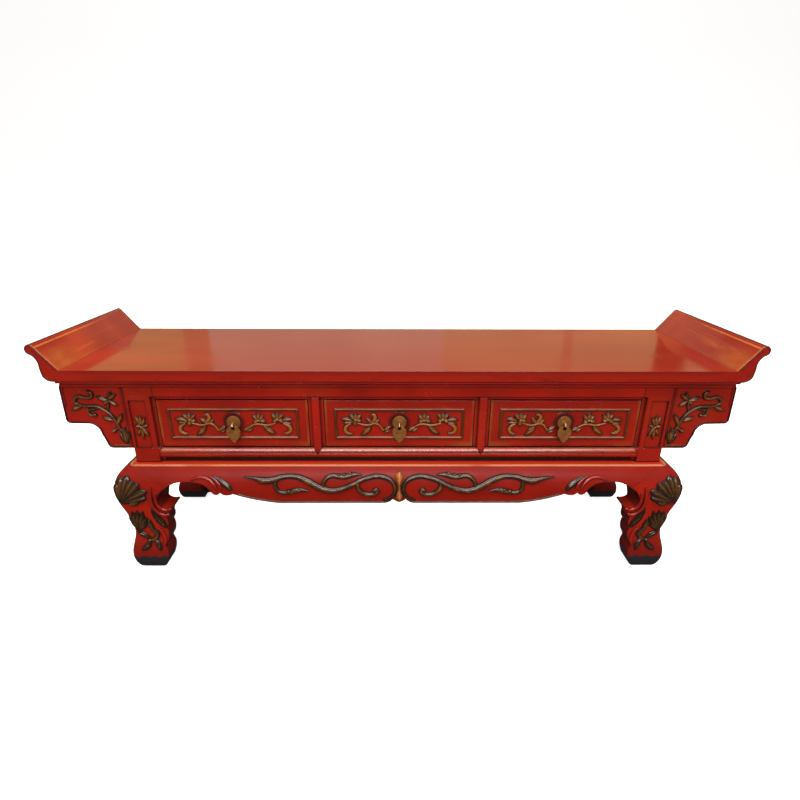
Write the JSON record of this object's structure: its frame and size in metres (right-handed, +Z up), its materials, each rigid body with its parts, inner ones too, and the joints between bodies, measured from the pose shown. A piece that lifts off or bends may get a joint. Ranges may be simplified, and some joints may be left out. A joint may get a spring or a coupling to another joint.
{
  "type": "altar table",
  "caption": "Low altar table with upturned ends, sliding drawers with swinging leaf pulls, cloud-shaped brackets and a carved stand on bowed scroll legs.",
  "frame": {"origin": "on the floor, under the middle of the table", "axes": "+X to the right along the table's length, +Y to the back, +Z up; the drawers open towards -Y"},
  "size_m": [1.4798, 0.3842, 0.53],
  "materials": {
    "red_lacquer": "semi-gloss orange-red lacquer with dark glaze in the recesses and worn golden edges",
    "plain_wood": "unpainted, aged softwood",
    "brass": "aged, slightly dulled"
  },
  "bodies": {
    "root": {"top_board": "red_lacquer", "flange_left": "red_lacquer", "flange_right": "red_lacquer", "top_mouldings": "red_lacquer", "top_battens": "plain_wood", "post_front_left": "red_lacquer", "post_front_right": "red_lacquer", "post_back_left": "red_lacquer", "post_back_right": "red_lacquer", "upper_rail_front": "red_lacquer", "lower_rail_front": "red_lacquer", "upper_rail_back": "red_lacquer", "lower_rail_back": "red_lacquer", "muntin_left": "red_lacquer", "muntin_right": "red_lacquer", "side_rails_left": "red_lacquer", "side_rails_right": "red_lacquer", "side_panel_left": "red_lacquer", "side_panel_right": "red_lacquer", "back_panel": "red_lacquer", "bottom_board": "plain_wood", "partition_left": "plain_wood", "partition_right": "plain_wood", "drawer_runners": "plain_wood", "spandrel_front_left": "red_lacquer", "spandrel_front_right": "red_lacquer", "spandrel_back_left": "red_lacquer", "spandrel_back_right": "red_lacquer", "leg_front_left": "red_lacquer", "leg_front_right": "red_lacquer", "leg_back_left": "red_lacquer", "leg_back_right": "red_lacquer", "apron_front": "red_lacquer", "apron_back": "red_lacquer", "apron_left": "red_lacquer", "apron_right": "red_lacquer", "stand_rails_long": "plain_wood", "stand_rails_cross": "plain_wood", "corner_blocks": "plain_wood"},
    "drawer_left": {"drawer_left_front": "red_lacquer", "drawer_left_sides": "plain_wood", "drawer_left_back": "plain_wood", "drawer_left_bottom": "plain_wood", "pull_left_plate": "brass", "pull_left_pin": "brass"},
    "pull_left": {"pull_left_drop": "brass"},
    "drawer_middle": {"drawer_middle_front": "red_lacquer", "drawer_middle_sides": "plain_wood", "drawer_middle_back": "plain_wood", "drawer_middle_bottom": "plain_wood", "pull_middle_plate": "brass", "pull_middle_pin": "brass"},
    "pull_middle": {"pull_middle_drop": "brass"},
    "drawer_right": {"drawer_right_front": "red_lacquer", "drawer_right_sides": "plain_wood", "drawer_right_back": "plain_wood", "drawer_right_bottom": "plain_wood", "pull_right_plate": "brass", "pull_right_pin": "brass"},
    "pull_right": {"pull_right_drop": "brass"}
  },
  "joints": [
    {"name": "drawer_left_slide", "type": "slide", "parent": "root", "child": "drawer_left", "axis": [0, -1, 0], "range_m": [0, 0.2]},
    {"name": "pull_left_swing", "type": "hinge", "parent": "drawer_left", "child": "pull_left", "pos_m": [-0.35433, -0.1627, 0.34775], "axis": [-1, 0, 0], "range_deg": [0, 150]},
    {"name": "drawer_middle_slide", "type": "slide", "parent": "root", "child": "drawer_middle", "axis": [0, -1, 0], "range_m": [0, 0.2]},
    {"name": "pull_middle_swing", "type": "hinge", "parent": "drawer_middle", "child": "pull_middle", "pos_m": [0, -0.1627, 0.34775], "axis": [-1, 0, 0], "range_deg": [0, 150]},
    {"name": "drawer_right_slide", "type": "slide", "parent": "root", "child": "drawer_right", "axis": [0, -1, 0], "range_m": [0, 0.2]},
    {"name": "pull_right_swing", "type": "hinge", "parent": "drawer_right", "child": "pull_right", "pos_m": [0.35433, -0.1627, 0.34775], "axis": [-1, 0, 0], "range_deg": [0, 150]}
  ]
}
